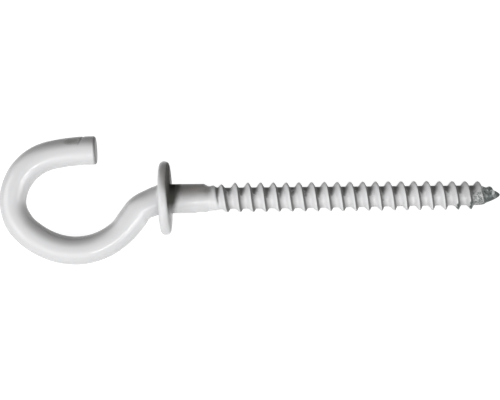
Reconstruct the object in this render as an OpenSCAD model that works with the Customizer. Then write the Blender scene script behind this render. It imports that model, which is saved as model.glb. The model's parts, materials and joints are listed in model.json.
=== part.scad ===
// Screw hook: one length of round wire, bent to an open hook at one end, upset to a
// collar in the middle and rolled to a wood-screw thread with a gimlet point at the other.
// It lies as it comes to rest on a flat surface: on a thread crest near the point,
// on the collar's rim and on the saddle of the hook.
// Sizes are in millimetres and angles in degrees.

/* [Wire] */
// Diameter of the hook's wire
wire_d = 5.7; // [4.8:0.1:6.4]
// Radius on the edge of the wire's cut end
end_round = 0.5; // [0.2:0.1:1.2]

/* [Neck] */
// Distance from the collar's seat face back to the start of the throat bend
throat_start = 0.2; // [0:0.1:1]
// Centreline radius of the throat bend, which leaves the collar
throat_r = 4; // [3.6:0.1:6]
// Angle of the throat bend
throat_deg = 22; // [14:1:30]
// Straight length between the throat bend and the neck bend
throat_len = 2.9; // [1:0.1:5]
// Centreline radius of the neck bend
neck_r = 5; // [4:0.1:7]
// Angle of the neck bend
neck_deg = 30; // [20:1:36]
// Straight length between the neck bend and the saddle
neck_len = 3; // [1:0.1:6]

/* [Bowl] */
// Centreline radius of the saddle, where the load hangs
saddle_r = 13.2; // [11:0.1:16]
// Angle of the saddle
saddle_deg = 70; // [60:1:78]
// Centreline radius of the flatter heel behind the saddle
heel_r = 15.7; // [12:0.1:20]
// Angle of the heel
heel_deg = 25; // [15:1:32]
// Centreline radius of the tight back bend
back_r = 8; // [7:0.1:11]
// Angle of the back bend
back_deg = 62; // [54:1:68]
// Centreline radius of the crown
crown_r = 9.9; // [8:0.1:13]
// Angle of the crown
crown_deg = 63; // [54:1:66]
// Centreline radius of the nearly straight lip
lip_r = 39.5; // [20:0.5:60]
// Straight length from the lip's bend to the rounded edge of the cut end
lip_len = 0.2; // [0.2:0.1:6]

/* [Collar] */
// Outer diameter of the collar
collar_d = 14.7; // [12:0.1:18]
// Thickness of the collar
collar_t = 1.5; // [1.1:0.1:2.4]
// Radius on both edges of the collar's rim
rim_round = 0.65; // [0.2:0.05:0.75]

/* [Shank] */
// Diameter of the plain shank
shank_d = 5.7; // [4.8:0.1:6.4]
// Length of the plain shank from the seat face
shank_len = 7; // [3:0.1:20]
// Length of the tapered shoulder between the shank and the thread's core
shoulder_len = 2.4; // [1:0.1:5]

/* [Thread] */
// Length from the seat face to the point
screw_len = 66.2; // [45:0.1:90]
// Diameter over the thread's crests
thread_d = 5.7; // [5:0.1:6.4]
// Diameter of the thread's core
core_d = 4.25; // [3.4:0.05:4.6]
// Distance from one crest to the next
pitch = 2.55; // [2:0.01:3.2]
// Width of the thread where it stands on the core
ridge_w = 1.6; // [1.2:0.05:1.9]
// Distance from the end of the shank to the first crest
first_crest = 1.15; // [0:0.05:2.5]
// Distance from the end of the shank to where the thread starts to rise
thread_start = 1.5; // [0:0.1:4]
// Length over which the thread rises to its full height
lead_in = 3; // [2:0.1:10]

/* [Point] */
// Half angle of the point's cone
point_deg = 21; // [18:1:32]
// Radius on the very tip of the point
nose_r = 0.15; // [0.05:0.05:0.4]
// Length over which the thread sinks into the tip of the point
point_fade = 2.2; // [1:0.1:4]

/* [Hidden] */
$fn = 96;

COAT = [0.88, 0.88, 0.89];

wire_rad = wire_d / 2;
shank_rad = shank_d / 2;
core_rad = core_d / 2;
crest_rad = thread_d / 2;
collar_rad = collar_d / 2;
rim_rad = min(rim_round, 0.49 * collar_t);
edge_rad = min(end_round, 0.45 * wire_d);

// ---- Hook: bends from the collar to the lip ----

// The lip turns by what is left, so that the cut end runs parallel with the screw.
lip_deg = 180 + throat_deg + neck_deg - saddle_deg - heel_deg - back_deg - crown_deg;

// Each stage is [radius, angle] for a bend, positive to the left, or [0, length].
STAGES = [
    [throat_r, throat_deg],
    [0, throat_len],
    [neck_r, neck_deg],
    [0, neck_len],
    [-saddle_r, saddle_deg],
    [-heel_r, heel_deg],
    [-back_r, back_deg],
    [-crown_r, crown_deg],
    [-lip_r, lip_deg]
];

// A place on the centreline is [x, y, heading]; the hook lies in the XY plane,
// the screw along +X, and the seat face's centre is the origin.
START = [-throat_start, 0, 180];

// The place reached after going part of the way, from 0 to 1, through a stage
function along(place, stage, part) =
    stage[0] == 0
    ? [place[0] + part * stage[1] * cos(place[2]),
       place[1] + part * stage[1] * sin(place[2]),
       place[2]]
    : let (turn = sign(stage[0]) * part * stage[1], after = place[2] + turn)
      [place[0] + stage[0] * (sin(after) - sin(place[2])),
       place[1] - stage[0] * (cos(after) - cos(place[2])),
       after];

// The places at which stage i and all later stages start, and the last one's end
function places(place, i) =
    i == len(STAGES) ? [place] : concat([place], places(along(place, STAGES[i], 1), i + 1));

PLACES = places(START, 0);

// Stages meet under a cuff a hair wider than the wire, so that they fuse to one solid:
// each stops short of the next by the gap, and the cuff fills it.
STAGE_GAP = 0.02;
CUFF_LEN = 0.2;
CUFF_PROUD = 0.005;

module at_place(place) {
    translate([place[0], place[1], 0]) rotate([0, 0, place[2]]) children();
}

module straight(length) {
    rotate([0, 90, 0]) cylinder(r = wire_rad, h = length - STAGE_GAP);
}

module bend(radius, angle) {
    gap_deg = STAGE_GAP / abs(radius) * 180 / PI;
    mirror([0, radius < 0 ? 1 : 0, 0])
        translate([0, abs(radius), 0])
            rotate([0, 0, -90])
                rotate_extrude(angle = angle - gap_deg)
                    translate([abs(radius), 0]) circle(r = wire_rad);
}

module cuff() {
    rotate([0, 90, 0]) cylinder(r = wire_rad + CUFF_PROUD, h = CUFF_LEN, center = true);
}

// The straight end of the lip, cut square and with its edge rounded
module wire_end() {
    rotate([0, 90, 0])
        rotate_extrude() {
            square([wire_rad, lip_len]);
            square([wire_rad - edge_rad, lip_len + edge_rad]);
            translate([wire_rad - edge_rad, lip_len]) circle(r = edge_rad);
        }
}

module hook_wire() {
    for (i = [0 : len(STAGES) - 1]) {
        stage = STAGES[i];
        at_place(PLACES[i])
            if (stage[0] == 0) straight(stage[1]);
            else bend(stage[0], stage[1]);
        at_place(PLACES[i + 1]) cuff();
    }
    at_place(PLACES[len(STAGES)]) wire_end();
}

// ---- Collar and plain shank ----

module collar() {
    translate([-collar_t, 0, 0]) rotate([0, 90, 0])
        rotate_extrude() {
            square([collar_rad - rim_rad, collar_t]);
            translate([0, rim_rad]) square([collar_rad, collar_t - 2 * rim_rad]);
            for (z = [rim_rad, collar_t - rim_rad])
                translate([collar_rad - rim_rad, z]) circle(r = rim_rad);
        }
}

// The shank starts in the middle of the collar, where the wire joins it.
module shank() {
    translate([-collar_t / 2, 0, 0]) rotate([0, 90, 0])
        cylinder(r = shank_rad, h = collar_t / 2 + shank_len);
}

// ---- Thread: a helical ridge on the core, from inside the shank to the point ----

// Lines along the screw round its girth
LINES = 32;
// Section of the ridge: places over half its width, and heights over its full height
RIDGE = [[-1, 0], [-0.42, 0.8], [-0.14, 1], [0.14, 1], [0.42, 0.8], [1, 0]];
// Length of the thread's blank that is sunk into the shank, and its gap to the skin there
SUNK = 1;
SKIN = 0.02;

blank_start = shank_len - SUNK;
helix_start = shank_len + first_crest;
// Turns from before the blank's start to past the point
FIRST_TURN = floor((blank_start - helix_start - ridge_w) / pitch) - 1;
LAST_TURN = ceil((screw_len - helix_start + ridge_w) / pitch);
ROWS = (LAST_TURN - FIRST_TURN + 1) * len(RIDGE);

function clamp(v, low, high) = max(low, min(high, v));
function smooth(t) = let (c = clamp(t, 0, 1)) c * c * (3 - 2 * c);

// Radius of the core with the shoulder at one end and the point's cone at the other
function core_at(x) =
    let (shoulder = smooth(1 - (x - shank_len) / shoulder_len),
         girth = core_rad + (shank_rad - SKIN - core_rad) * shoulder,
         left = screw_len - x,
         cone = sqrt(pow(left * tan(point_deg), 2) + 2 * nose_r * left))
    min(girth, cone);

// Height of the ridge's crest above the core
function crest_height(x) =
    let (body = min(core_at(x), crest_rad), bare = crest_rad - body,
         rise = smooth((x - shank_len - thread_start) / lead_in),
         fade = clamp((screw_len - x) / point_fade, 0, 1))
    min(bare, crest_rad - core_rad) * rise * fade;

// Place along the screw of row s on line i; line i lies at 360 * i / LINES round it
function row_x(i, s) =
    let (turn = FIRST_TURN + floor(s / len(RIDGE)), step = RIDGE[s % len(RIDGE)])
    clamp(helix_start + pitch * (turn + i / LINES) + step[0] * ridge_w / 2,
          blank_start, screw_len);

function row_point(i, s) =
    let (x = row_x(i, s), a = 360 * i / LINES,
         r = core_at(x) + crest_height(x) * RIDGE[s % len(RIDGE)][1])
    [x, r * cos(a), r * sin(a)];

THREAD_POINTS = [for (i = [0 : LINES - 1]) for (s = [0 : ROWS - 1]) row_point(i, s)];

// Number of the point of row s on line i; past the last line the rows move on by a turn
function at(i, s) = i < LINES ? i * ROWS + s : at(i - LINES, s + len(RIDGE));

// The two triangles between four neighbours, without those that the ends close up
function triangle(a, b, c) =
    let (p = THREAD_POINTS[a], q = THREAD_POINTS[b], r = THREAD_POINTS[c])
    p == q || q == r || r == p ? [] : [[a, b, c]];

THREAD_FACES = concat(
    [[for (i = [0 : LINES - 1]) at(i, 0)]],
    [for (i = [0 : LINES - 1])
        for (s = [0 : ROWS - 2 - (i == LINES - 1 ? len(RIDGE) : 0)])
            each concat(triangle(at(i, s), at(i, s + 1), at(i + 1, s + 1)),
                        triangle(at(i, s), at(i + 1, s + 1), at(i + 1, s)))]);

module thread() {
    polyhedron(points = THREAD_POINTS, faces = THREAD_FACES, convexity = 10);
}

// ---- Rest: how the hook lies on a flat surface ----

// up is the surface's upward direction in the hook's own frame.
// Reach of each piece in direction u, from the seat's centre
WIRE_STEPS = 24;
WIRE_LINE = [for (i = [0 : len(STAGES) - 1]) for (k = [0 : WIRE_STEPS])
                along(PLACES[i], STAGES[i], k / WIRE_STEPS)];
function wire_reach(u) = max([for (p = WIRE_LINE) u[0] * p[0] + u[1] * p[1]]) + wire_rad;
function collar_reach(u) =
    max(-rim_rad * u[0], (rim_rad - collar_t) * u[0])
    + (collar_rad - rim_rad) * norm([u[1], u[2]]) + rim_rad;
function thread_reach(u) = max([for (p = THREAD_POINTS) u * p]);
function reach(u) = max(wire_reach(u), collar_reach(u), thread_reach(u));

// Dip of the screw at which a crest x from the seat and the collar's rim touch together
function dip(x) =
    let (run = x + rim_rad, drop = collar_rad - rim_rad - crest_rad, tilt = atan2(drop, run))
    tilt + asin(rim_rad / norm([run, drop]));

// Roll about the screw at which the wire comes down to the height of the collar's rim
function roll(dipped) =
    let (floor_height = -collar_reach([sin(dipped), 0, -cos(dipped)]))
    asin(min([for (p = WIRE_LINE) if (p[1] < -wire_rad)
        (-sin(dipped) * p[0] - floor_height - wire_rad) / (-p[1] * cos(dipped))]));

// The point's cone is as wide as the core here, from the formula in core_at
POINT_SLOPE = pow(tan(point_deg), 2);
point_len = (sqrt(nose_r * nose_r + POINT_SLOPE * core_rad * core_rad) - nose_r) / POINT_SLOPE;
full_crest_end = screw_len - point_len;
first_dip = dip(full_crest_end);
// The lowest line round the screw, as a share of a turn, and the last full crest on it
low_line = (180 + 90 - roll(first_dip)) / 360;
touching_crest = helix_start
    + pitch * (floor((full_crest_end - helix_start) / pitch - low_line) + low_line);
rest_dip = dip(touching_crest);
rest_roll = roll(rest_dip);

// The surface's own directions, in the hook's frame
REST_X = [cos(rest_dip), sin(rest_dip) * sin(rest_roll), sin(rest_dip) * cos(rest_roll)];
REST_Y = [0, cos(rest_roll), -sin(rest_roll)];
REST_Z = [-sin(rest_dip), cos(rest_dip) * sin(rest_roll), cos(rest_dip) * cos(rest_roll)];

module lay_down() {
    translate([(reach(-REST_X) - reach(REST_X)) / 2,
               (reach(-REST_Y) - reach(REST_Y)) / 2,
               reach(-REST_Z)])
        rotate([rest_roll, rest_dip, 0]) children();
}

// ---- The one piece ----

module screw_hook() {
    color(COAT) lay_down() union() {
        hook_wire();
        collar();
        shank();
        thread();
    }
}

screw_hook();
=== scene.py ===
"""A white-coated screw hook: one bent wire with a collar, a wood-screw thread and a bare point."""

import json
import math

import bpy
import numpy as np
from mathutils import Matrix, Quaternion, Vector


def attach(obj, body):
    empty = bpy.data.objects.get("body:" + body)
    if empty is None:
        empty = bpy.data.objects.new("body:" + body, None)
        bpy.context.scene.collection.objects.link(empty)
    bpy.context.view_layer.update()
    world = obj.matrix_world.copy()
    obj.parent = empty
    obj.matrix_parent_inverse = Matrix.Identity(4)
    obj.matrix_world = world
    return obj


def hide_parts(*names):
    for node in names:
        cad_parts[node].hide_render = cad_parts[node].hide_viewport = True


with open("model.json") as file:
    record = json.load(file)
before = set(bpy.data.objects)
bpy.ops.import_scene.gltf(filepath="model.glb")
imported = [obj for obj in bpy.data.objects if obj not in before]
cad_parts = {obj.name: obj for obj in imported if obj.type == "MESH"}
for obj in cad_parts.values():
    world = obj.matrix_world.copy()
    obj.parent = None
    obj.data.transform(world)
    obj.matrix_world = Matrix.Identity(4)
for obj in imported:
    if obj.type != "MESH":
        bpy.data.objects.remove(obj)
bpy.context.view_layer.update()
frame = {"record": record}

bl_info = {
    "name": "Screw Hook",
    "version": (1, 0, 0),
    "blender": (4, 5, 0),
    "location": "3D Viewport > Sidebar > Screw Hook",
    "description": "Builds a coated screw hook that lies on a pale floor",
    "category": "Add Mesh",
}

MM = 0.001


# ---- Sizes ----

def length(name, description, default_mm):
    """A length property, given in millimetres and kept in metres."""
    return bpy.props.FloatProperty(
        name=name, description=description, default=default_mm * MM,
        min=0.0, max=200 * MM, precision=5, unit="LENGTH", subtype="DISTANCE")


def angle(name, description, default_deg):
    """An angle property, given in degrees and kept in radians."""
    return bpy.props.FloatProperty(
        name=name, description=description, default=math.radians(default_deg),
        unit="ROTATION", subtype="ANGLE")


def share(name, description, default):
    """A property between 0 and 1."""
    return bpy.props.FloatProperty(
        name=name, description=description, default=default, min=0.0, max=1.0, subtype="FACTOR")


def colour(name, description, default):
    """A colour property in linear light."""
    return bpy.props.FloatVectorProperty(
        name=name, description=description, default=default, size=3,
        min=0.0, max=1.0, subtype="COLOR")


class HookSizes(bpy.types.PropertyGroup):
    """The bent wire, from its cut end to the collar."""

    wire_d: length("Wire", "Diameter of the coated wire", 5.66)
    end_round: length("End rounding", "Radius on the edge of the cut end", 0.5)
    cut_deg: angle("Cut", "How far the cut end is off square", 2.4)
    throat_start: length("Throat start", "From the seat back to the throat bend", 0.2)
    throat_r: length("Throat radius", "Centreline radius of the bend behind the collar", 4.0)
    throat_deg: angle("Throat angle", "Angle of the bend behind the collar", 22)
    throat_len: length("Throat length", "Straight between the throat and the neck bend", 2.9)
    neck_r: length("Neck radius", "Centreline radius of the neck bend", 5.0)
    neck_deg: angle("Neck angle", "Angle of the neck bend", 30)
    neck_len: length("Neck length", "Straight between the neck bend and the saddle", 3.0)
    saddle_r: length("Saddle radius", "Centreline radius where the load hangs", 13.2)
    saddle_deg: angle("Saddle angle", "Angle of the saddle", 70)
    heel_r: length("Heel radius", "Centreline radius behind the saddle", 15.7)
    heel_deg: angle("Heel angle", "Angle of the heel", 25)
    back_r: length("Back radius", "Centreline radius of the tight back bend", 8.0)
    back_deg: angle("Back angle", "Angle of the back bend", 62)
    crown_r: length("Crown radius", "Centreline radius of the crown", 9.9)
    crown_deg: angle("Crown angle", "Angle of the crown", 63)
    lip_r: length("Lip radius", "Centreline radius of the nearly straight lip", 39.5)
    lip_len: length("Lip length", "Straight from the lip's bend to the end's rounding", 0.2)
    back_thinning: length("Back thinning", "How much the radius thins at the back bend", 0.22)
    heel_thinning: length("Heel thinning", "How much the radius thins below the neck", 0.1)
    lip_swelling: length("Lip swelling", "How much the radius swells along the lip", 0.01)
    crease: length("Crease", "Depth of the crease under the throat", 0.5)


class CollarSizes(bpy.types.PropertyGroup):
    """The collar and the plain shank."""

    collar_d: length("Collar", "Outer diameter of the collar", 14.56)
    collar_t: length("Collar thickness", "Thickness of the collar", 1.68)
    rim_round: length("Rim rounding", "Radius on the edges of the collar's rim", 0.7)
    collar_high: length("Collar above", "How much wider the collar is above", 0.05)
    collar_low: length("Collar below", "How much wider the collar is below", 0.2)
    seat_coat: length("Seat coating", "Thickness of the coating on the seat face", 0.15)
    fillet: length("Fillet", "Radius of the coating's fillet at the collar", 0.42)
    lean: angle("Lean", "How far the upset collar leans over in the hook's plane", 1.3)
    yaw: angle("Yaw", "How far the upset collar turns out of the hook's plane", -2.0)
    shank_d: length("Shank", "Diameter of the plain shank at the thread", 5.66)
    shank_swell: length("Shank swelling", "How much wider the shank is at the collar", 0.19)
    shank_drop: length("Shank drop", "How far the shank's middle lies below the screw's line", 0.1)
    # How far the collar's painted shadow reaches along the shank
    collar_shadow_len: length("Dirt length", "How far dirt reaches along the shank from the seat", 3.0)
    shank_len: length("Shank length", "From the seat to the shoulder", 6.8)
    shoulder_len: length("Shoulder length", "From the shank to the thread's core", 1.5)
    shoulder_slack: length("Shoulder slack", "How much later the shoulder ends below", 2.2)
    thread_drop: length(
        "Thread drop", "How far the thread's middle lies below the screw's line", 0.06)
    shoulder_rib: length("Shoulder rib", "Height of the thread's first faint rib", 0.45)


class ThreadSizes(bpy.types.PropertyGroup):
    """The wood-screw thread and its gimlet point."""

    screw_len: length("Screw length", "From the seat to the point", 66.16)
    thread_d: length("Thread", "Diameter over the crests", 5.98)
    crest_slack: length("Crest slack", "How much lower than that a crest may be", 0.08)
    crest_taper: length("Crest taper", "How much smaller the thread is at the point", 0.25)
    core_d: length("Core", "Diameter of the thread's core", 4.0)
    sag: length("Sag", "How much thicker the coating is on the core's lower side", 0.3)
    sag_end: length("Sag end", "From the seat to where the thick lower side ends", 58)
    pitch: length("Pitch", "From one crest to the next", 2.552)
    first_crest: length("First crest", "From the seat to a crest on the top line", 8.126)
    thread_start: length("Thread start", "From the seat to where the thread starts to rise", 8.8)
    lead_in: length("Lead-in", "Length over which the thread rises to full height", 2.6)
    cone_deg: angle("Point angle", "Half angle of the point's cone", 17.5)
    nose_r: length("Nose", "Radius on the very tip", 0.3)
    point_fade: length("Point fade", "Length over which the thread gets low to the tip", 4.6)
    point_wear: share("Point wear", "How much of the last crest is missing below", 0.85)
    early_crests: length("Early crests", "How far the first crests stand back below", 0.22)
    hook_flank: length("Hook flank", "Width of the flank that faces the hook", 0.96)
    point_flank: length("Point flank", "Width of the flank that faces the point", 0.74)
    flank_lean: length("Flank lean", "How much the crest leans to the point below", 0.2)


class Finish(bpy.types.PropertyGroup):
    """Colours and roughness of the coating and of the bare steel."""

    coat: colour("Coating", "Colour of the coating", (0.80, 0.80, 0.81))
    # Painted light: a lighter copy of the coating for the thread
    lit_thread_coat: colour("Thread coating", "Colour of the coating on the thread", (0.85, 0.85, 0.86))
    coat_rough: share("Coating roughness", "Roughness of the coating", 0.14)
    # Painted shade in the thread's roots and lee with some dirt, and the smudges
    shade_and_smudge: colour("Thread dirt", "Colour of the dirt in the thread", (0.135, 0.135, 0.131))
    # Painted shade on the seat face, in the corner and along the shank's top edge, and the collar's
    # painted shadow
    corner_shade: colour(
        "Corner dirt", "Colour of the dirt on the collar's seat face", (0.085, 0.085, 0.078))
    # Painted shade on the upper side
    upper_shade: colour("Film", "Colour of the grey film on the upper side", (0.34, 0.325, 0.315))
    # A brownish stain that is partly painted shade
    stain_and_shade: colour("Stain", "Colour of the brownish stain on the shank", (0.40, 0.34, 0.31))
    # Roughness where shade, dirt and smudges are painted
    darkened_rough: share("Dirt roughness", "Roughness of the dirt", 0.8)
    thin_coat: colour(
        "Thin coating", "Colour of the thin coating near the point", (0.56, 0.56, 0.56))
    steel: colour("Steel", "Colour of the bare steel at the point", (0.06, 0.073, 0.07))
    # Bright specks on the steel, and the colour of a painted highlight near the tip
    speck_and_highlight: colour(
        "Steel specks", "Colour of the bright specks on the steel", (0.62, 0.65, 0.64))
    steel_rough: share("Steel roughness", "Roughness of the bare steel", 0.42)
    nick: length("Nick", "Depth of the nick on the lip", 0.16)
    lumps: length("Lumps", "How deep the hollows of the uneven coating are", 0.05)


class StageLight(bpy.types.PropertyGroup):
    """The floor and the light of the studio."""

    floor: colour("Floor", "Colour of the floor", (0.3, 0.3, 0.3))
    floor_glow: share("Floor glow", "What makes the floor look white, without lighting", 0.95)
    room_light: share("Room light", "Light from all round, where 1 is white", 0.02)


# ---- Place of the hook, as the frame's mounts give it ----

def mount(name):
    """The place, axis and sizes of one of the part's mounts."""
    found = [m for m in frame["record"]["mounts"] if m["name"] == name]
    if not found:
        raise RuntimeError(f"the frame has no mount named {name}")
    return Vector(found[0]["pos_m"]), Vector(found[0]["axis"]).normalized(), found[0]["dims"]


def hook_to_world():
    """The hook's own axes in the world: X along the screw, Y across the hook, Z out of its plane.

    The origin is in the middle of the collar's seat face.
    """
    middle, along, dims = mount("shank")
    across = mount("saddle")[1]
    place = Matrix.Identity(4)
    for column, axis in enumerate((along, across, along.cross(across))):
        place.col[column].xyz = axis
    place.col[3].xyz = middle - along * dims["length_mm"] * MM / 2
    return place


# ---- Rings along the bent wire ----

# A ring is a circle of the surface: its centre on the hook's plane, the heading of its
# normal, its radius, what is added on the bowl's inner and outer side, its yaw and how dark it
# is painted: painted shade on the collar and the shank, plain darkening on the cut end.
RING = ("x", "y", "heading", "radius", "inner", "outer", "yaw", "shade_and_dirt")
# How far apart the rings are at most: round a bend, along the wire and along the lip
BEND_STEP = math.radians(1.6)
STRAIGHT_STEP = 0.3 * MM
LIP_STEP = 0.12 * MM
# How many rings make the end's rounding, the two fillets and the rim
END_RINGS = 8
BACK_FILLET_RINGS = 6
SEAT_FILLET_RINGS = 5
RIM_RINGS = 24
# How dark the cut end's face and edge are painted, and how much painted shade the rim next to
# the seat face and the seat face at its outside get
FACE_DARKENING, EDGE_DARKENING, RIM_SHADE, SEAT_SHADE = 0.5, 0.75, 0.7, 0.8


def ease(t):
    """Goes smoothly from 0 to 1 as t does."""
    t = min(max(t, 0.0), 1.0)
    return t * t * (3 - 2 * t)


def between(value, points):
    """The eased value at a place, from pairs of place and value in rising order."""
    for (a, va), (b, vb) in zip(points, points[1:]):
        if value <= b:
            return va + (vb - va) * ease((value - a) / (b - a))
    return points[-1][1]


def bent_line(wire):
    """Places on the wire's centreline as (x, y, heading), from the collar to the lip."""
    lip_deg = (math.pi + wire.throat_deg + wire.neck_deg
               - wire.saddle_deg - wire.heel_deg - wire.back_deg - wire.crown_deg)
    # Radius and angle of each bend, or 0 and the length of a straight
    stages = [(wire.throat_r, wire.throat_deg), (0, wire.throat_len),
              (wire.neck_r, wire.neck_deg), (0, wire.neck_len),
              (-wire.saddle_r, wire.saddle_deg), (-wire.heel_r, wire.heel_deg),
              (-wire.back_r, wire.back_deg), (-wire.crown_r, wire.crown_deg),
              (-wire.lip_r, lip_deg), (0, wire.lip_len)]
    x, y, heading = -wire.throat_start, 0.0, math.pi
    line = [(x, y, heading)]
    for radius, amount in stages:
        if radius == 0:
            steps = max(1, round(amount / STRAIGHT_STEP))
            for k in range(1, steps + 1):
                line.append((x + math.cos(heading) * amount * k / steps,
                             y + math.sin(heading) * amount * k / steps, heading))
        else:
            step = LIP_STEP if radius == -wire.lip_r else STRAIGHT_STEP
            steps = max(1, round(amount / min(BEND_STEP, step / abs(radius))))
            for k in range(1, steps + 1):
                after = heading + math.copysign(amount, radius) * k / steps
                line.append((x + radius * (math.sin(after) - math.sin(heading)),
                             y - radius * (math.cos(after) - math.cos(heading)), after))
        x, y, heading = line[-1]
    return line


def wire_shape(wire):
    """What is added to the wire's radius all round, inside the bowl and outside it.

    Each table pairs places along the wire from the collar with what is added there.
    """
    thin, heel, swell = -wire.back_thinning, -wire.heel_thinning, wire.lip_swelling
    girth = [(0, 0), (9, 0), (13, heel), (17, heel / 2), (21, 0), (31, 0.02 * MM),
             (35, thin * 0.2), (39, thin), (42, thin * 0.65), (46, thin * 0.15),
             (50, swell), (62, swell)]
    inside = [(0, 0.26 * MM), (2.2, 0.1 * MM), (5, 0), (7, 0.05 * MM), (9, 0),
              (11.5, -0.08 * MM), (14, 0), (44, 0), (50, 0.04 * MM), (62, 0.04 * MM)]
    outside = [(0, 0.3 * MM), (0.9, 0.28 * MM), (1.9, -wire.crease), (2.9, -0.12 * MM),
               (6, -0.2 * MM), (8, 0), (36, 0), (41, 0.06 * MM), (47, 0.06 * MM), (52, 0), (62, 0)]
    return [[(place * MM, value) for place, value in table] for table in (girth, inside, outside)]


def ring(x, y, heading, radius, inner=0.0, outer=0.0, yaw=0.0, shade_and_dirt=0.0):
    """One ring, with its values in the order of RING."""
    return x, y, heading, radius, inner, outer, yaw, shade_and_dirt


def end_rings(wire, x, y, heading, radius, inner):
    """The cut end: a flat face with a rounded edge."""
    out = np.array([math.cos(heading), math.sin(heading)])
    face = np.array([x, y]) + out * wire.end_round
    end_heading = heading + math.pi + wire.cut_deg
    # The cut end's face and edge are painted darker
    rings = [ring(*face, end_heading, (radius - wire.end_round) * part, inner * part,
                  shade_and_dirt=FACE_DARKENING) for part in (0.0, 0.25, 0.5, 0.75, 0.92)]
    for k in range(END_RINGS):
        turn = math.pi / 2 * k / END_RINGS
        centre = np.array([x, y]) + out * wire.end_round * math.cos(turn)
        rings.append(ring(*centre, end_heading, radius - wire.end_round * (1 - math.sin(turn)),
                          inner, shade_and_dirt=EDGE_DARKENING * math.cos(turn) ** 0.5))
    return rings


def wire_rings(wire, collar):
    """The wire, from the middle of its cut end back to the collar's fillet."""
    line = bent_line(wire)
    run = np.cumsum([0] + [math.dist(a[:2], b[:2]) for a, b in zip(line, line[1:])])
    whole, wire_r = run[-1], wire.wire_d / 2
    girth, inside, outside = wire_shape(wire)
    rings = end_rings(wire, *line[-1], wire_r + between(whole, girth), between(whole, inside))
    fillet_x = -collar.collar_t - collar.fillet
    for (x, y, heading), at in zip(reversed(line), reversed(run)):
        if x > fillet_x and at < whole / 2:
            break
        rings.append(ring(x, y, heading + math.pi, wire_r + between(at, girth),
                          between(at, inside), between(at, outside)))
    return rings


def upset_ring(collar, x, y, radius, part, shade_and_dirt=0.0):
    """A ring of the collar, which is upset a little out of round and out of square."""
    return ring(x, y, collar.lean, radius, collar.collar_high * part, collar.collar_low * part,
                collar.yaw, shade_and_dirt)


def collar_rings(collar, last):
    """The collar's back fillet, back face and rim, which go on from the wire's last ring."""
    rings = []
    back_x = -collar.collar_t
    last_x, last_y, last_heading, last_r, last_in, last_out = last[:6]
    for k in range(1, BACK_FILLET_RINGS + 1):
        part = k / BACK_FILLET_RINGS
        turn = math.pi / 2 * k / BACK_FILLET_RINGS
        rings.append(ring(
            last_x + (back_x - last_x) * math.sin(turn), last_y * (1 - 0.2 * part),
            last_heading + (2 * math.pi + collar.lean - last_heading) * part,
            last_r + 0.1 * MM * part + collar.fillet * (1 - math.cos(turn)),
            last_in * (1 - part), last_out * (1 - part), collar.yaw * part))
    mid_y, mid_r = rings[-1][1], rings[-1][3]
    flat_r = collar.collar_d / 2 - collar.rim_round
    for part in (0.25, 0.5, 0.75, 1.0):
        rings.append(upset_ring(collar, back_x, mid_y * (1 - part),
                                mid_r + (flat_r - mid_r) * part, part))
    thick = collar.collar_t + collar.seat_coat
    for k in range(1, RIM_RINGS + 1):
        turn = math.pi * k / RIM_RINGS
        # The rim's half towards the seat face gets painted shade
        rings.append(upset_ring(collar, back_x + thick / 2 * (1 - math.cos(turn)), 0,
                                flat_r + collar.rim_round * math.sin(turn), 1,
                                RIM_SHADE * ease((turn / math.pi - 0.5) / 0.5)))
    return rings


def shank_rings(collar, seam_x):
    """The seat face, its fillet and the plain shank as far as seam_x."""
    rings = []
    shank_r, flat_r = collar.shank_d / 2, collar.collar_d / 2 - collar.rim_round
    full_r, full_drop = shank_r + collar.shank_swell / 2, collar.shank_drop * 2
    fillet = collar.fillet * 0.5
    root_r = full_r + fillet
    for part in (0.25, 0.5, 0.75, 1.0):
        # The seat face and its fillet get painted shade, full at the shank
        rings.append(upset_ring(collar, collar.seat_coat, -full_drop * part,
                                flat_r + (root_r - flat_r) * part, 1 - part,
                                SEAT_SHADE + (1 - SEAT_SHADE) * part))
    for k in range(1, SEAT_FILLET_RINGS + 1):
        square = 1 - k / SEAT_FILLET_RINGS
        turn = math.pi / 2 * k / SEAT_FILLET_RINGS
        rings.append(ring(collar.seat_coat + fillet * (1 - math.cos(turn)), -full_drop,
                          collar.lean * square, root_r - fillet * math.sin(turn),
                          yaw=collar.yaw * square, shade_and_dirt=1.0))
    start = rings[-1][0]
    steps = max(2, round((seam_x - start) / STRAIGHT_STEP))
    for k in range(1, steps + 1):
        # The last part of the shank is thinned to meet the thread
        part = k / steps
        thinned = ease((part - 0.7) / 0.3)
        x = start + (seam_x - start) * part
        # The collar's painted shadow fades along the shank
        rings.append(ring(x, -full_drop + (full_drop - collar.shank_drop) * thinned, 0,
                          full_r + (shank_r - full_r) * thinned,
                          shade_and_dirt=max(0.0, 1 - (x - start) / collar.collar_shadow_len)))
    return rings


def hook_rings(wire, collar, seam_x):
    """The rings from the middle of the cut end to the ring at seam_x on the shank."""
    rings = wire_rings(wire, collar)
    rings += collar_rings(collar, rings[-1])
    return rings + shank_rings(collar, seam_x)


def ring_mesh(rings):
    """A line of points that carries each ring's values as attributes."""
    mesh = bpy.data.meshes.new("hook_line")
    mesh.from_pydata([(r[0], r[1], 0) for r in rings],
                     [(i, i + 1) for i in range(len(rings) - 1)], [])
    for column, name in enumerate(RING[2:], start=2):
        data = mesh.attributes.new(name, "FLOAT", "POINT").data
        data.foreach_set("value", np.array([r[column] for r in rings], np.float32))
    return mesh


# ---- Geometry Nodes ----

# Lines along the skin, and rows of the thread's grid for each turn of the helix
LINES = 80
ROWS_A_TURN = 20
# How far before the shank's end the thread's grid takes over from the rings, and how close
# the points of both have to be there to be merged
SEAM_BACK = 0.4 * MM
MERGE = 0.002 * MM
# How softly the core and the shoulder run into the point's cone
CONE_BLEND = 0.3 * MM
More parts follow.
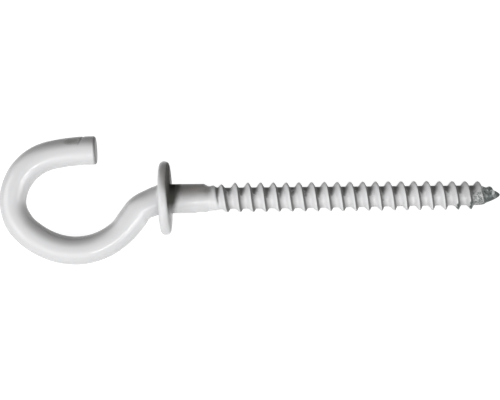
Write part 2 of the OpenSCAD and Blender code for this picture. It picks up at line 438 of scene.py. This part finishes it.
# The first rib's place after the shank's end at the top, how it slants away from the top
# and its widths before and after
RIB_AT = 2.05 * MM
RIB_SLANT = 5 * MM
RIB_BEFORE = 1.1 * MM
RIB_AFTER = 0.5 * MM
# The nick's ends on the lip in the hook's own X and Y, and its width
NICK = (-17.05 * MM, 12.4 * MM), (-18.0 * MM, 10.75 * MM)
NICK_WIDTH = 0.16 * MM
# Scale of the noise that makes the crests uneven, and of the one that makes the coating so
CREST_NOISE = 380
COATING_NOISE = 420
# How much the skin's slant to the point and to the top count as facing upwards, the side that gets
# painted shade
UPWARD = 0.3, 0.95
# The coating is dull where its painted shade is stronger than this, from a little behind the
# collar's middle
DULL_SHADE = 0.7
DULL_FROM = -2 * MM


class Field:
    """A number field in a node tree, which takes plain arithmetic."""

    def __init__(self, tree, socket):
        self.tree, self.socket = tree, socket

    def math(self, operation, *others):
        """This field and the others, put through one operation of a math node."""
        node = made(self.tree, "ShaderNodeMath", self, *others, operation=operation)
        return Field(self.tree, node.outputs[0])

    def __add__(self, other):
        return self.math("ADD", other)

    def __sub__(self, other):
        return self.math("SUBTRACT", other)

    def __mul__(self, other):
        return self.math("MULTIPLY", other)

    def __truediv__(self, other):
        return self.math("DIVIDE", other)

    def __rsub__(self, other):
        return (self * -1).math("ADD", other)

    __radd__, __rmul__ = __add__, __mul__

    def ramp(self, low, high, to_low=0.0, to_high=1.0):
        """Eases from to_low to to_high as this field goes from low to high."""
        node = made(self.tree, "ShaderNodeMapRange", self, low, high, to_low, to_high,
                    interpolation_type="SMOOTHSTEP")
        return Field(self.tree, node.outputs[0])


def plug(tree, value, socket):
    """Gives a socket a field, another node's output or a plain value."""
    if isinstance(value, Field):
        tree.links.new(value.socket, socket)
    elif isinstance(value, bpy.types.NodeSocket):
        tree.links.new(value, socket)
    else:
        socket.default_value = value


def made(tree, kind, *values, named=None, **settings):
    """A new node with its settings made and its inputs plugged, in order or by name."""
    node = tree.nodes.new(kind)
    for setting, value in settings.items():
        setattr(node, setting, value)
    for place, value in (*enumerate(values), *(named or {}).items()):
        plug(tree, value, node.inputs[place])
    return node


def vector(tree, x, y, z):
    """A vector made of three numbers or fields."""
    return made(tree, "ShaderNodeCombineXYZ", x, y, z).outputs[0]


def split(tree, socket):
    """A vector's three parts as fields."""
    return [Field(tree, s) for s in made(tree, "ShaderNodeSeparateXYZ", socket).outputs]


def noise(tree, scale, detail, place=None, rough=0.5):
    """Noise at a place, or at the tree's own place when none is given."""
    named = {"Scale": scale, "Detail": detail, "Roughness": rough}
    if place is not None:
        named["Vector"] = place
    return Field(tree, made(tree, "ShaderNodeTexNoise", named=named).outputs["Fac"])


def named_attribute(tree, name):
    """A float attribute of the geometry."""
    node = made(tree, "GeometryNodeInputNamedAttribute", named={"Name": name}, data_type="FLOAT")
    return Field(tree, node.outputs["Attribute"])


def named_inputs(tree, sizes):
    """Adds a float input for each size, in metres or radians, and returns their identifiers."""
    identifiers = {}
    for name, value in sizes.items():
        item = tree.interface.new_socket(name, in_out="INPUT", socket_type="NodeSocketFloat")
        item.default_value = value
        identifiers[name] = item.identifier
    return identifiers


def turned_grid(tree, rows):
    """A grid of rows by LINES + 1 points, with each point's row and line."""
    grid = made(tree, "GeometryNodeMeshGrid",
                named={"Vertices X": rows, "Vertices Y": LINES + 1, "Size X": 1, "Size Y": 1})
    index = Field(tree, made(tree, "GeometryNodeInputIndex").outputs[0])
    row = ((index + 0.5) / (LINES + 1)).math("FLOOR")
    line = (index - row * (LINES + 1)).math("ROUND")
    return grid.outputs["Mesh"], row, line


def moved(tree, skin, **where):
    """The skin with its points put at a Position or moved by an Offset."""
    return made(tree, "GeometryNodeSetPosition", skin, named=where).outputs[0]


def stored(tree, skin, name, value):
    """The skin with a field kept on its points as a named attribute."""
    return made(tree, "GeometryNodeStoreNamedAttribute", skin,
                named={"Name": name, "Value": value}, data_type="FLOAT", domain="POINT").outputs[0]


def swept_wire(tree, line_geometry, ring_count):
    """Sets a grid's rows as rings along the line that comes in."""
    mesh, row, line = turned_grid(tree, ring_count)

    def sampled(value, data_type="FLOAT"):
        return made(tree, "GeometryNodeSampleIndex", line_geometry,
                    named={"Value": value, "Index": row}, data_type=data_type,
                    domain="POINT").outputs["Value"]

    position = made(tree, "GeometryNodeInputPosition").outputs[0]
    centre_x, centre_y, _ = split(tree, sampled(position, "FLOAT_VECTOR"))
    heading, radius, inner, outer, yaw, shade_and_dirt = (
        Field(tree, sampled(named_attribute(tree, name))) for name in RING[2:])

    turn = line * (2 * math.pi / LINES)
    cosine, sine = turn.math("COSINE"), turn.math("SINE")
    inside, outside = cosine.math("MAXIMUM", 0.0), (cosine * -1).math("MAXIMUM", 0.0)
    radius = radius + inner * inside * inside + outer * outside * outside
    across, out = radius * cosine, radius * sine
    slide = out * yaw.math("TANGENT")
    x = centre_x - across * heading.math("SINE") + slide * heading.math("COSINE")
    y = centre_y + across * heading.math("COSINE") + slide * heading.math("SINE")
    return stored(tree, moved(tree, mesh, Position=vector(tree, x, y, out)), "shade_and_dirt", shade_and_dirt)


def first_rib(size, x, turn, seam_x):
    """The thread's faint first rib on the front of the shoulder, and the distance past it."""
    past_top = (turn + 0.3).math("FRACT") - 0.3
    off_rib = x - (size["Shank length"] + RIB_AT + past_top * past_top * RIB_SLANT)
    before = off_rib.math("MINIMUM", 0.0) / RIB_BEFORE
    after = off_rib.math("MAXIMUM", 0.0) / RIB_AFTER
    rib = ((before * before + after * after) * -1).math("EXPONENT")
    rib = rib * past_top.ramp(-0.3, 0.0) * past_top.ramp(0.35, 0.55, 1.0, 0.0)
    # It starts from nothing at the seam, so that the grid meets the rings there
    return rib * x.ramp(seam_x, seam_x + SEAM_BACK), off_rib


def ridge_shape(size, phase, under):
    """The ridge's outline from 0 to 1: steep towards the point, gentle towards the hook."""
    lean = size["Flank lean"] * under
    ahead = (phase * size["Pitch"]).ramp(0.0, size["Point flank"] - lean, 1.0, 0.0)
    behind = ((1 - phase) * size["Pitch"]).ramp(0.0, size["Hook flank"] + lean, 1.0, 0.0)
    return ahead.math("MAXIMUM", behind)


def ridge_share(size, x, left, under):
    """How much of the ridge's height is there: it rises at the start and fades to the point."""
    fade = size["Point fade"]
    worn = under * left.ramp(fade * 0.8, fade * 1.15, 1.0, 0.0) * size["Point wear"]
    return ((x - size["Thread start"]).ramp(0.0, size["Lead-in"])
            * left.ramp(fade * 0.13, fade * 0.4) * left.ramp(fade * 0.43, fade, 0.6, 1.0)
            * (1 - worn))


def helical_thread(tree, size, seam_x, turns_before, turns_after):
    """A grid whose rows follow the thread's helix, from seam_x on the shank to the point."""
    mesh, row, line = turned_grid(tree, (turns_before + turns_after) * ROWS_A_TURN + 1)
    turn = line / LINES
    cosine = (turn * (2 * math.pi)).math("COSINE")
    sine = (turn * (2 * math.pi)).math("SINE")
    under = (1 - cosine) * 0.5

    # Place along the screw; the first crests stand back below
    pitches = row / ROWS_A_TURN - turns_before + turn
    early = pitches.ramp(0.5, 1.5) * pitches.ramp(2.0, 8.0, 1.0, 0.0)
    first = pitches.ramp(0.4, 0.9) * pitches.ramp(1.05, 1.6, 1.0, 0.0)
    x = size["First crest"] + size["Pitch"] * pitches
    x = x - size["Early crests"] * (under * early + first * 1.5)
    x = x.math("MAXIMUM", seam_x).math("MINIMUM", size["Screw length"])
    left = size["Screw length"] - x

    # Core with its sagging coating, which the shoulder widens and the point's cone ends
    sagging = x.ramp(size["Sag end"] * 0.4, size["Sag end"], 1.0, 0.0)
    core = size["Core"] / 2 + size["Sag"] * under * sagging
    shoulder_end = (size["Shank length"] + size["Shoulder length"]
                    + size["Shoulder slack"] * under)
    shoulder = x.ramp(size["Shank length"], shoulder_end, 1.0, 0.0)
    girth = core + (size["Shank"] / 2 - core) * shoulder
    slope = left * size["Point angle"].math("TANGENT")
    cone = (slope * slope + left * size["Nose"] * 2).math("SQRT")
    body = girth.math("SMOOTH_MIN", cone, CONE_BLEND).math("MINIMUM", cone)
    rib, off_rib = first_rib(size, x, turn, seam_x)
    body = body + size["Shoulder rib"] * rib
    drop = size["Thread drop"] + (size["Shank drop"] - size["Thread drop"]) * shoulder
    # The very tip is back on the screw's line
    drop = drop * left.ramp(0.0, 5 * MM)

    # Ridge, which stays within the thread's outer radius
    crest = vector(tree, x, cosine * size["Thread"] / 2, sine * size["Thread"] / 2)
    slack = noise(tree, CREST_NOISE, 1, crest).ramp(0.35, 0.65) * size["Crest slack"] / 2
    outer = size["Thread"] / 2 - left.ramp(5 * MM, 18 * MM, 1.0, 0.0) * size["Crest taper"] / 2
    height = (outer - slack - core) * ridge_share(size, x, left, under)
    height = height.math("MINIMUM", (outer - body).math("MAXIMUM", 0.0))
    phase = (row / ROWS_A_TURN).math("FRACT")
    radius = body + height * ridge_shape(size, phase, under)
    place = vector(tree, x, radius * cosine - drop, radius * sine)
    skin = moved(tree, mesh, Position=place)

    # Where shade is painted, with some dirt: in the roots, and on the flank in the lee of each
    # crest
    shade_start = off_rib.ramp(0.1 * MM, 0.5 * MM)
    first_turn = (pitches - turn).ramp(0.85, 1.05, 1.0, 0.0)
    root_end = phase - cosine.math("MAXIMUM", 0.0) * 0.32 - first_turn * 0.2
    root = phase.ramp(0.02, 0.12) * root_end.ramp(0.19, 0.49, 1.0, 0.0) * shade_start
    lee_shade = phase.ramp(0.12, 0.36, 0.98, 0.0).math("MAXIMUM", phase.ramp(0.1, 0.66, 0.6, 0.0))
    lee_shade = lee_shade * phase.ramp(0.0, 0.05) * shade_start
    return stored(tree, stored(tree, skin, "root", root), "lee_shade", lee_shade)


def nick_mark(along, across, out):
    """1 in the middle of the slanting nick on the upper side of the lip, else 0."""
    (x0, y0), (x1, y1) = NICK
    run_x, run_y, run = x1 - x0, y1 - y0, math.dist(*NICK)
    off = ((along - x0) * (run_y / run) - (across - y0) * (run_x / run)) / NICK_WIDTH
    part = ((along - x0) * run_x + (across - y0) * run_y) / run ** 2
    ends = part.ramp(-0.35, 0.0) * part.ramp(0.7, 1.15, 1.0, 0.0)
    return (off * off * -1).math("EXPONENT") * ends * out.ramp(-0.6 * MM, 0.0)


def tree_sizes(collar, thread, finish):
    """The values of the node tree's inputs, by their names."""
    return {
        "Shank": collar.shank_d, "Shank drop": collar.shank_drop,
        "Shank length": collar.shank_len, "Shoulder length": collar.shoulder_len,
        "Shoulder slack": collar.shoulder_slack, "Shoulder rib": collar.shoulder_rib,
        "Screw length": thread.screw_len, "Thread": thread.thread_d,
        "Thread drop": collar.thread_drop, "Crest slack": thread.crest_slack,
        "Crest taper": thread.crest_taper, "Core": thread.core_d, "Sag": thread.sag,
        "Sag end": thread.sag_end, "Pitch": thread.pitch, "First crest": thread.first_crest,
        "Thread start": thread.thread_start, "Lead-in": thread.lead_in,
        "Point angle": thread.cone_deg, "Nose": thread.nose_r, "Point fade": thread.point_fade,
        "Point wear": thread.point_wear, "Early crests": thread.early_crests,
        "Hook flank": thread.hook_flank, "Point flank": thread.point_flank,
        "Flank lean": thread.flank_lean, "Nick": finish.nick, "Lumps": finish.lumps,
    }


def joined(tree, *skins):
    """The skins merged into one, with its faces turned to point outwards."""
    join = tree.nodes.new("GeometryNodeJoinGeometry")
    for skin in skins:
        tree.links.new(skin, join.inputs[0])
    merge = made(tree, "GeometryNodeMergeByDistance", join.outputs[0], named={"Distance": MERGE})
    return made(tree, "GeometryNodeFlipFaces", merge.outputs[0]).outputs[0]


def hook_tree(name, values, ring_count, seam_x, coating, dull_coating):
    """The whole hook: rings along the bent wire, then the helical thread, as one skin."""
    tree = bpy.data.node_groups.new(name, "GeometryNodeTree")
    for in_out in ("INPUT", "OUTPUT"):
        tree.interface.new_socket("Geometry", in_out=in_out, socket_type="NodeSocketGeometry")
    identifiers = named_inputs(tree, values)
    inputs = made(tree, "NodeGroupInput")
    size = {n: Field(tree, inputs.outputs[n]) for n in values}

    first, pitch = values["First crest"], values["Pitch"]
    turns_before = math.ceil((first - seam_x) / pitch) + 1
    turns_after = math.ceil((values["Screw length"] - first) / pitch) + 1
    skin = joined(tree, helical_thread(tree, size, seam_x, turns_before, turns_after),
                  swept_wire(tree, inputs.outputs["Geometry"], ring_count))

    # Keep the place in the hook's own axes, then let the uneven coating and the nick sink in
    along, across, out = split(tree, made(tree, "GeometryNodeInputPosition").outputs[0])
    normal = made(tree, "GeometryNodeInputNormal").outputs[0]
    right, top, _ = split(tree, normal)
    nick = nick_mark(along, across, out)
    for attribute, value in (("along", along), ("across", across), ("out", out),
                             ("up", right * UPWARD[0] + top * UPWARD[1]), ("nick", nick)):
        skin = stored(tree, skin, attribute, value)
    bumps = (noise(tree, COATING_NOISE, 2) - 0.5) * 1.6 + 0.5
    bumps = bumps.math("MAXIMUM", 0.0).math("MINIMUM", 1.0)
    threaded = (along - size["Shank length"]).ramp(0.0, 3 * MM, 0.35, 0.8)
    sink = bumps * size["Lumps"] * threaded + nick * size["Nick"]
    shift = made(tree, "ShaderNodeVectorMath", normal, named={"Scale": sink * -1},
                 operation="SCALE")
    skin = moved(tree, skin, Offset=shift.outputs[0])
    skin = made(tree, "GeometryNodeSetShadeSmooth", skin).outputs[0]
    skin = made(tree, "GeometryNodeRealizeInstances", skin).outputs[0]

    # The seat face and the corner behind it, where shade is painted, are dull
    dull = (named_attribute(tree, "shade_and_dirt").math("GREATER_THAN", DULL_SHADE)
            * along.math("GREATER_THAN", DULL_FROM))
    for named in ({"Material": coating}, {"Material": dull_coating, "Selection": dull}):
        skin = made(tree, "GeometryNodeSetMaterial", skin, named=named).outputs[0]
    made(tree, "NodeGroupOutput", skin)
    return tree, identifiers


# ---- Materials ----

# Scales of the finish's noises and the height of its bumps
FINE_NOISE, COARSE_NOISE, SPECK_NOISE = 900, 300, 1700
BUMP_HEIGHT = 0.06 * MM
COATING_IOR = 1.5
# How much shine the coating and the dull coating on the shaded seat face have
GLOSS, DULL_GLOSS = 0.5, 0.05
# Where bare steel starts, where the coating before it starts to thin, and how far their
# ragged edges reach
BARE_FROM, BARE_TO, BARE_RAGGED = 61.8 * MM, 62.6 * MM, 3 * MM
THIN_FROM, THIN_TO, THIN_RAGGED = 56 * MM, 61 * MM, 8 * MM
# Where the shank's finish gives way to the thread's
THREAD_FROM, THREAD_TO = 7 * MM, 9 * MM
# Chips in the coating below, in the hook's own X and Y, and their width and height
CHIPS = (57.7 * MM, -2.7 * MM), (60.4 * MM, -2.3 * MM)
CHIP_SIZE = 0.6 * MM, 1.3 * MM


def coat_material(name, finish, gloss):
    """White coating, painted lighter on the thread, with painted shade, some grime, a stain and
    smudges, worn through at the point to speckled steel with a painted highlight.
    """
    material = bpy.data.materials.new(name)
    material.use_nodes = True
    tree = material.node_tree
    shader = tree.nodes["Principled BSDF"]
    own_place = made(tree, "ShaderNodeTexCoord").outputs["Object"]

    def attribute(name):
        node = made(tree, "ShaderNodeAttribute", attribute_name=name)
        return Field(tree, node.outputs["Fac"])

    def mixed(factor, a, b):
        a, b = (value if isinstance(value, bpy.types.NodeSocket) else (*value, 1)
                for value in (a, b))
        return made(tree, "ShaderNodeMix", named={"Factor": factor, "A": a, "B": b},
                    data_type="RGBA").outputs["Result"]

    def spot(x, y, wide, high):
        """1 in the middle of a ragged oval patch on the front, in the hook's own X and Y."""
        dx, dy = (along - x) / wide, (across - y) / high
        edge = dx * dx + dy * dy + (fine - 0.5) * 1.6 + (coarse - 0.5) * 1.6
        return edge.ramp(-0.2, 1.3, 1.0, 0.0) * out.ramp(0.0, 0.5 * MM)

    along, across, out = attribute("along"), attribute("across"), attribute("out")
    root, lee_shade, shade_and_dirt, nick, up = (attribute(n) for n in ("root", "lee_shade", "shade_and_dirt", "nick", "up"))
    fine, coarse = noise(tree, FINE_NOISE, 3, own_place), noise(tree, COARSE_NOISE, 2, own_place)
    speck = noise(tree, SPECK_NOISE, 3, own_place, 0.65)

    off_thread = along.ramp(THREAD_FROM, THREAD_TO, 1.0, 0.0)
    on_thread = 1 - off_thread
    on_shank = along.ramp(0.3 * MM, 0.6 * MM) * along.ramp(7.5 * MM, 9 * MM, 1.0, 0.0)
    on_rim = along.ramp(-1.7 * MM, -1.6 * MM) * along.ramp(0.3 * MM, 0.5 * MM, 1.0, 0.0)
    on_lip = along.ramp(-6 * MM, -5 * MM, 1.0, 0.0)
    # The painted shade and dirt are weaker on the back
    seen_side = out.ramp(-2.2 * MM, -0.2 * MM, 0.35, 1.0)

    # Painted shade in the thread, with some dirt: in the roots' upper half, which ends raggedly,
    # and in the crests' lee
    ragged = across + (coarse - 0.5) * 4 * MM + (fine - 0.5) * 4 * MM
    thread_shade_and_dirt = (root * ragged.ramp(-1.2 * MM, 0.9 * MM)).math("MAXIMUM", lee_shade)

    # Painted shade on the seat face and the collar's painted shadow on the shank, which fades
    # along the shank and reaches further above; the cut end is painted darker plainly
    reach = (0.5 - across * 100).math("MAXIMUM", 0.3).math("MINIMUM", 0.72)
    painted_corner_shade = (shade_and_dirt - reach + (fine - 0.5) * 0.12).ramp(-0.25, 0.25)
    painted_corner_shade = painted_corner_shade * across.ramp(-3.8 * MM, -0.8 * MM, 0.42, 1.0)
    # A painted shade line along the shank's top edge
    top_edge_shade = across.ramp(2.15 * MM, 2.75 * MM) * out.ramp(0.0, 1.2 * MM) * on_shank * 0.75
    painted_corner_shade = painted_corner_shade.math("MAXIMUM", top_edge_shade)
    painted_corner_shade = painted_corner_shade + (shade_and_dirt - painted_corner_shade) * on_lip
    painted_corner_shade = painted_corner_shade * (on_lip + (1 - on_lip) * seen_side)

    # Painted shade on the upper side: on the shank, the rim, the lip, the bends and the crests
    upper_shade = (across + (fine - 0.5) * 0.4 * MM).ramp(-0.9 * MM, 1.5 * MM)
    upper_shade = upper_shade * on_shank * seen_side * 0.85
    shaded = along.ramp(-1.6 * MM, -0.2 * MM, 0.3, 0.8)
    upper_shade = upper_shade + across.ramp(0.5 * MM, 3.0 * MM) * on_rim * shaded
    upper_shade = upper_shade + across.ramp(10.9 * MM, 11.4 * MM) * along.ramp(-21.5 * MM, -19.5 * MM) * 0.2
    in_front = out.ramp(-1.2 * MM, 0.6 * MM)
    upper_shade = upper_shade + (1 - upper_shade) * up.ramp(0.1, 0.65) * in_front * off_thread * 0.6
    upper_shade = upper_shade + across.ramp(2.1 * MM, 2.6 * MM) * on_thread * 0.35

    # Smudges on the lip and at the shank's end, painted shade in the nick, and a brownish stain on
    # the shank that is partly painted shade
    smudge_and_nick_shade = spot(-19.2 * MM, 11.3 * MM, 1.7 * MM, 0.75 * MM) * 0.6
    smudge_and_nick_shade = smudge_and_nick_shade.math("MAXIMUM", spot(7.2 * MM, 1.3 * MM, 1.4 * MM, 0.4 * MM) * 0.35)
    # Painted shade in the nick
    smudge_and_nick_shade = smudge_and_nick_shade.math("MAXIMUM", nick * 0.4)
    stain_and_shade_spot = spot(4.9 * MM, 1.9 * MM, 1.7 * MM, 0.6 * MM) * 0.5

    # Steel shows through at the point, in specks before it and in chips under the last crests
    edge = (fine - 0.5) * BARE_RAGGED + (speck - 0.5) * BARE_RAGGED
    bare = (along + edge).ramp(BARE_FROM, BARE_TO)
    specked = along.ramp(60.2 * MM, 60.7 * MM) * across.ramp(0.2 * MM, 1.2 * MM, 1.0, 0.0)
    bare = bare.math("MAXIMUM", specked * speck.ramp(0.46, 0.53))
    for place in CHIPS:
        chip = (spot(*place, *CHIP_SIZE) * 1.8).math("MINIMUM", 1.0)
        bare = bare.math("MAXIMUM", chip)
    thin = (along + (coarse - 0.5) * THIN_RAGGED).ramp(THIN_FROM, THIN_TO)
    specks_and_highlight = (fine.ramp(0.45, 0.6) * 0.22).math("MAXIMUM", speck.ramp(0.57, 0.68))
    # A painted highlight on the steel near the tip
    specks_and_highlight = specks_and_highlight.math("MAXIMUM", spot(64.7 * MM, 0.6 * MM, 0.4 * MM, 0.7 * MM) * 0.8)
    specks_and_highlight = specks_and_highlight * along.ramp(65.1 * MM, 65.6 * MM, 1.0, 0.0)

    # The thread gets the lighter copy of the coating, which is painted light
    coat = mixed(off_thread, finish.lit_thread_coat, finish.coat)
    for amount, over in ((thin, finish.thin_coat), (upper_shade, finish.upper_shade), (stain_and_shade_spot, finish.stain_and_shade),
                         (thread_shade_and_dirt + smudge_and_nick_shade, finish.shade_and_smudge), (painted_corner_shade, finish.corner_shade)):
        coat = mixed(amount, coat, over)
    steel = mixed(specks_and_highlight, finish.steel, finish.speck_and_highlight)
    # Where shade, dirt and smudges are painted, the coating is rougher
    darkened = (thread_shade_and_dirt * 0.5 + smudge_and_nick_shade * 0.5).math("MAXIMUM", painted_corner_shade)
    rough = finish.coat_rough + on_thread * 0.3
    rough = rough + (finish.darkened_rough - rough) * darkened
    rough = rough + (finish.steel_rough - rough) * bare
    bump = made(tree, "ShaderNodeBump", named={
        "Distance": BUMP_HEIGHT, "Strength": 0.5, "Height": fine * 0.35 + speck * bare * 1.2})
    for name, value in (("Base Color", mixed(bare, coat, steel)), ("Metallic", bare * 0.4),
                        ("Roughness", rough), ("IOR", COATING_IOR),
                        ("Specular IOR Level", gloss), ("Normal", bump.outputs[0])):
        plug(tree, value, shader.inputs[name])
    return material


def seen_or_mirrored(tree):
    """1 for rays from the camera and for rays that gloss or glass sends on, else 0."""
    path = made(tree, "ShaderNodeLightPath")
    camera, glossy, through = (Field(tree, path.outputs[f"Is {kind} Ray"])
                               for kind in ("Camera", "Glossy", "Transmission"))
    return camera.math("MAXIMUM", glossy).math("MAXIMUM", through)


def floor_material(light):
    """Pale floor that looks plain white and keeps a faint shadow of the hook."""
    material = bpy.data.materials.new("pale_floor")
    material.use_nodes = True
    tree = material.node_tree
    shader = tree.nodes["Principled BSDF"]
    for name, value in (("Base Color", (*light.floor, 1)), ("Roughness", 0.9),
                        ("Specular IOR Level", 0)):
        shader.inputs[name].default_value = value
    glow = made(tree, "ShaderNodeEmission",
                named={"Strength": seen_or_mirrored(tree) * light.floor_glow})
    add = made(tree, "ShaderNodeAddShader", shader.outputs[0], glow.outputs[0])
    tree.links.new(add.outputs[0], tree.nodes["Material Output"].inputs["Surface"])
    return material


def white_world(light):
    """World that looks white and gives the hook only a little light from all round."""
    world = bpy.data.worlds.new("studio")
    world.use_nodes = True
    tree = world.node_tree
    background = tree.nodes["Background"]
    background.inputs["Color"].default_value = (1, 1, 1, 1)
    strength = seen_or_mirrored(tree).ramp(0.0, 1.0, light.room_light, 1.0)
    plug(tree, strength, background.inputs["Strength"])
    return world


# ---- Pieces ----

# Fewer faces than this mean that the node tree made no hook
FEWEST_FACES = 1000


def plain_mesh(holder):
    """The evaluated result of holder's modifiers as a plain mesh; holder is removed."""
    bpy.context.view_layer.update()
    graph = bpy.context.evaluated_depsgraph_get()
    mesh = bpy.data.meshes.new_from_object(holder.evaluated_get(graph), depsgraph=graph)
    bpy.data.objects.remove(holder)
    return mesh


class SCREWHOOK_OT_hook(bpy.types.Operator):
    """Builds the bent wire, the collar and the threaded screw as one closed skin"""

    bl_idname = "screwhook.hook"
    bl_label = "Hook"

    def execute(self, context):
        scene = context.scene
        finish = scene.hook_finish
        seam_x = scene.collar_sizes.shank_len - SEAM_BACK
        rings = hook_rings(scene.hook_sizes, scene.collar_sizes, seam_x)
        values = tree_sizes(scene.collar_sizes, scene.thread_sizes, finish)
        tree, identifiers = hook_tree(
            "hook_skin", values, len(rings), seam_x,
            coat_material("coated_steel", finish, GLOSS),
            coat_material("dull_shaded_coating", finish, DULL_GLOSS))

        holder = bpy.data.objects.new("hook_holder", ring_mesh(rings))
        scene.collection.objects.link(holder)
        modifier = holder.modifiers.new("skin", "NODES")
        modifier.node_group = tree
        for name, value in values.items():
            modifier[identifiers[name]] = value
        mesh = plain_mesh(holder)
        if len(mesh.polygons) < FEWEST_FACES:
            raise RuntimeError("the hook's skin came out empty")
        mesh.transform(hook_to_world())
        mesh.name = "coated_hook"
        hook = bpy.data.objects.new("coated_hook", mesh)
        scene.collection.objects.link(hook)
        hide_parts("screw_hook")
        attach(hook, "root")
        return {"FINISHED"}


# ---- Stage ----

FLOOR_SIZE = 3.0
# Each soft box: degrees off the line from the hook's plane to the camera, degrees round that
# line from the screw's direction, width and height in metres, roll in degrees, and its share
# of full light.
LAMPS = {
    "left_softbox": (56, 190, 0.50, 0.34, 0, 0.35),
    "side_softbox": (68, 153, 0.50, 0.45, 0, 0.26),
    "key_softbox": (46, 236, 0.50, 0.34, 0, 0.11),
    "low_softbox": (42, 278, 0.80, 0.36, 0, 0.27),
    "right_softbox": (49, 326, 0.40, 0.30, 0, 0.37),
    "fill_softbox": (16, 290, 0.30, 0.30, 0, 0.04),
    "line_softbox": (32, 288, 0.24, 0.045, 31, 0.13),
}
LAMP_DISTANCE = 0.6
# What the lamps point at and what the camera looks at, in the hook's own X, Y and Z
LIT_PLACE = Vector((16 * MM, 0, 0))
SEEN_PLACE = Vector((16.18 * MM, -0.6 * MM, 0))
# The camera's distance, the width that it sees there, its film's width in millimetres, and
# how far it is rolled, as a slope
CAMERA_DISTANCE = 0.3
SEEN_WIDTH = 0.1
FILM_WIDTH = 36
CAMERA_ROLL = 0.00905


class SCREWHOOK_OT_stage(bpy.types.Operator):
    """Builds the pale floor, the studio lamps and the camera"""

    bl_idname = "screwhook.stage"
    bl_label = "Stage"

    def execute(self, context):
        scene = context.scene
        place = hook_to_world()
        self.add_floor(scene)
        for name, values in LAMPS.items():
            self.add_lamp(scene, place, name, *values)
        self.add_camera(scene, place)
        scene.world = white_world(scene.stage_light)
        scene.view_settings.view_transform = "Standard"
        return {"FINISHED"}

    def add_floor(self, scene):
        """A wide square under the hook."""
        half = FLOOR_SIZE / 2
        mesh = bpy.data.meshes.new("floor")
        mesh.from_pydata([(-half, -half, 0), (half, -half, 0), (half, half, 0), (-half, half, 0)],
                         [], [(0, 1, 2, 3)])
        mesh.materials.append(floor_material(scene.stage_light))
        floor = bpy.data.objects.new("floor", mesh)
        scene.collection.objects.link(floor)

    def add_lamp(self, scene, place, name, off_axis, round_axis, width, height, roll, light):
        """One soft box that faces the hook."""
        tilt, spin = math.radians(off_axis), math.radians(round_axis)
        local = Vector((math.sin(tilt) * math.cos(spin), math.sin(tilt) * math.sin(spin),
                        math.cos(tilt)))
        direction = place.to_3x3() @ local
        lamp = bpy.data.lights.new(name, "AREA")
        lamp.shape = "RECTANGLE"
        lamp.size, lamp.size_y = width, height
        lamp.energy = light * (math.pi * LAMP_DISTANCE) ** 2
        holder = bpy.data.objects.new(name, lamp)
        holder.location = place @ LIT_PLACE + direction * LAMP_DISTANCE
        facing = (-direction).to_track_quat("-Z", "Y")
        rolled = facing @ Quaternion((0, 0, 1), math.radians(roll))
        holder.rotation_euler = rolled.to_euler()
        scene.collection.objects.link(holder)

    def add_camera(self, scene, place):
        """The camera, square to the hook's plane."""
        camera = bpy.data.cameras.new("camera")
        camera.sensor_width = FILM_WIDTH
        camera.lens = FILM_WIDTH * CAMERA_DISTANCE / SEEN_WIDTH
        holder = bpy.data.objects.new("camera", camera)
        turn = place.to_3x3() @ Matrix.Rotation(-math.atan(CAMERA_ROLL), 3, "Z")
        eye = place @ SEEN_PLACE + turn.col[2] * CAMERA_DISTANCE
        holder.matrix_world = Matrix.Translation(eye) @ turn.to_4x4()
        scene.collection.objects.link(holder)
        scene.camera = holder


# ---- Panel and registration ----

GROUPS = {"hook_sizes": HookSizes, "collar_sizes": CollarSizes,
          "thread_sizes": ThreadSizes, "hook_finish": Finish, "stage_light": StageLight}
OPERATORS = (SCREWHOOK_OT_hook, SCREWHOOK_OT_stage)


class SCREWHOOK_PT_panel(bpy.types.Panel):
    """Lists the sizes, the finish and the build steps of the screw hook"""

    bl_idname = "SCREWHOOK_PT_panel"
    bl_label = "Screw Hook"
    bl_space_type = "VIEW_3D"
    bl_region_type = "UI"
    bl_category = "Screw Hook"

    def draw(self, context):
        for name in GROUPS:
            group = getattr(context.scene, name)
            box = self.layout.box()
            for key in group.__annotations__:
                box.prop(group, key)
        for operator in OPERATORS:
            self.layout.operator(operator.bl_idname)


def register():
    for cls in (*GROUPS.values(), *OPERATORS, SCREWHOOK_PT_panel):
        bpy.utils.register_class(cls)
    for name, group in GROUPS.items():
        setattr(bpy.types.Scene, name, bpy.props.PointerProperty(type=group))


def unregister():
    for name in GROUPS:
        delattr(bpy.types.Scene, name)
    for cls in reversed((*GROUPS.values(), *OPERATORS, SCREWHOOK_PT_panel)):
        bpy.utils.unregister_class(cls)


def main():
    register()
    bpy.ops.screwhook.hook()
    bpy.ops.screwhook.stage()


if __name__ == "__main__":
    main()
